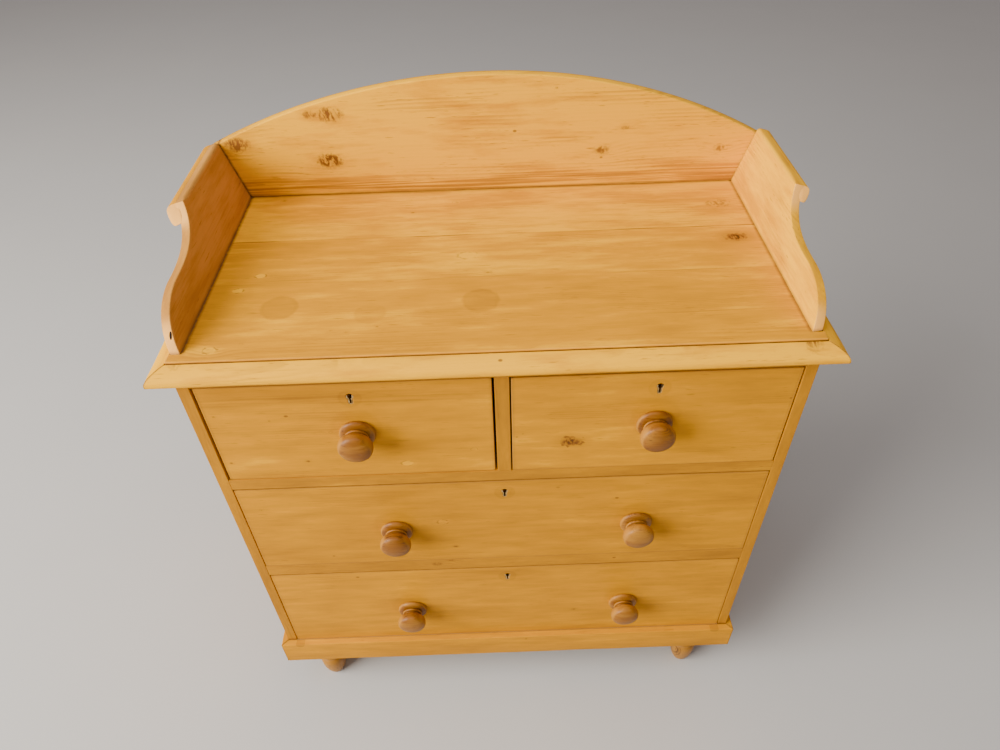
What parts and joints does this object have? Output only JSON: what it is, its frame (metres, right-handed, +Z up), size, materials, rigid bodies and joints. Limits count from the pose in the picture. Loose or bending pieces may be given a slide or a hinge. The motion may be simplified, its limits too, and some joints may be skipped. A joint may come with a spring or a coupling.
{
  "type": "washstand",
  "caption": "Pine washstand: short and long locking drawers with turned knobs, turned feet, and a top with an arched splashback and leaning ogee gallery sides.",
  "frame": {"origin": "bottom centre of the bounding box: at floor level under the feet, midway across the width and midway between the knobs' faces and the back", "axes": "+Z up, +Y from the drawer fronts to the back, +X to the right as seen from the front"},
  "size_m": [0.933, 0.487, 1.0953],
  "materials": {
    "waxed_pine": "honey-coloured waxed pine with a soft sheen",
    "inner_pine": "bare aged pine of the hidden boards",
    "turned_wood": "darker turned wood, polished",
    "lock_brass": "dull aged brass",
    "bolt_iron": "dark worn iron"
  },
  "bodies": {
    "carcass": {"side_left": "waxed_pine", "side_right": "waxed_pine", "top_board": "waxed_pine", "top_rail": "waxed_pine", "centre_divider": "waxed_pine", "upper_rail": "waxed_pine", "upper_dustboard": "inner_pine", "lower_rail": "waxed_pine", "lower_dustboard": "inner_pine", "bottom_board": "inner_pine", "back_panel": "inner_pine", "moulding_front": "waxed_pine", "moulding_left": "waxed_pine", "moulding_right": "waxed_pine", "plinth_front": "waxed_pine", "plinth_left": "waxed_pine", "plinth_right": "waxed_pine", "gallery_back": "waxed_pine", "gallery_side_left": "waxed_pine", "gallery_side_right": "waxed_pine", "gallery_roll_left": "waxed_pine", "gallery_roll_right": "waxed_pine", "foot_front_left": "turned_wood", "foot_front_right": "turned_wood", "foot_back_left": "turned_wood", "foot_back_right": "turned_wood"},
    "upper_left_drawer": {"upper_left_drawer_front": "waxed_pine", "upper_left_drawer_side_left": "inner_pine", "upper_left_drawer_side_right": "inner_pine", "upper_left_drawer_back": "inner_pine", "upper_left_drawer_bottom": "inner_pine", "upper_left_drawer_knob": "turned_wood", "upper_left_drawer_lock": "lock_brass"},
    "upper_left_drawer_bolt_body": {"upper_left_drawer_bolt": "bolt_iron"},
    "upper_right_drawer": {"upper_right_drawer_front": "waxed_pine", "upper_right_drawer_side_left": "inner_pine", "upper_right_drawer_side_right": "inner_pine", "upper_right_drawer_back": "inner_pine", "upper_right_drawer_bottom": "inner_pine", "upper_right_drawer_knob": "turned_wood", "upper_right_drawer_lock": "lock_brass"},
    "upper_right_drawer_bolt_body": {"upper_right_drawer_bolt": "bolt_iron"},
    "middle_drawer": {"middle_drawer_front": "waxed_pine", "middle_drawer_side_left": "inner_pine", "middle_drawer_side_right": "inner_pine", "middle_drawer_back": "inner_pine", "middle_drawer_bottom": "inner_pine", "middle_drawer_knob_left": "turned_wood", "middle_drawer_knob_right": "turned_wood", "middle_drawer_lock": "lock_brass"},
    "middle_drawer_bolt_body": {"middle_drawer_bolt": "bolt_iron"},
    "lower_drawer": {"lower_drawer_front": "waxed_pine", "lower_drawer_side_left": "inner_pine", "lower_drawer_side_right": "inner_pine", "lower_drawer_back": "inner_pine", "lower_drawer_bottom": "inner_pine", "lower_drawer_knob_left": "turned_wood", "lower_drawer_knob_right": "turned_wood", "lower_drawer_lock": "lock_brass"},
    "lower_drawer_bolt_body": {"lower_drawer_bolt": "bolt_iron"}
  },
  "joints": [
    {"name": "upper_left_drawer_slide", "type": "slide", "parent": "carcass", "child": "upper_left_drawer", "axis": [0, -1, 0], "range_m": [0, 0.3]},
    {"name": "upper_left_drawer_bolt_throw", "type": "slide", "parent": "upper_left_drawer", "child": "upper_left_drawer_bolt_body", "axis": [0, 0, 1], "range_m": [0, 0.008]},
    {"name": "upper_right_drawer_slide", "type": "slide", "parent": "carcass", "child": "upper_right_drawer", "axis": [0, -1, 0], "range_m": [0, 0.3]},
    {"name": "upper_right_drawer_bolt_throw", "type": "slide", "parent": "upper_right_drawer", "child": "upper_right_drawer_bolt_body", "axis": [0, 0, 1], "range_m": [0, 0.008]},
    {"name": "middle_drawer_slide", "type": "slide", "parent": "carcass", "child": "middle_drawer", "axis": [0, -1, 0], "range_m": [0, 0.3]},
    {"name": "middle_drawer_bolt_throw", "type": "slide", "parent": "middle_drawer", "child": "middle_drawer_bolt_body", "axis": [0, 0, 1], "range_m": [0, 0.008]},
    {"name": "lower_drawer_slide", "type": "slide", "parent": "carcass", "child": "lower_drawer", "axis": [0, -1, 0], "range_m": [0, 0.3]},
    {"name": "lower_drawer_bolt_throw", "type": "slide", "parent": "lower_drawer", "child": "lower_drawer_bolt_body", "axis": [0, 0, 1], "range_m": [0, 0.008]}
  ]
}
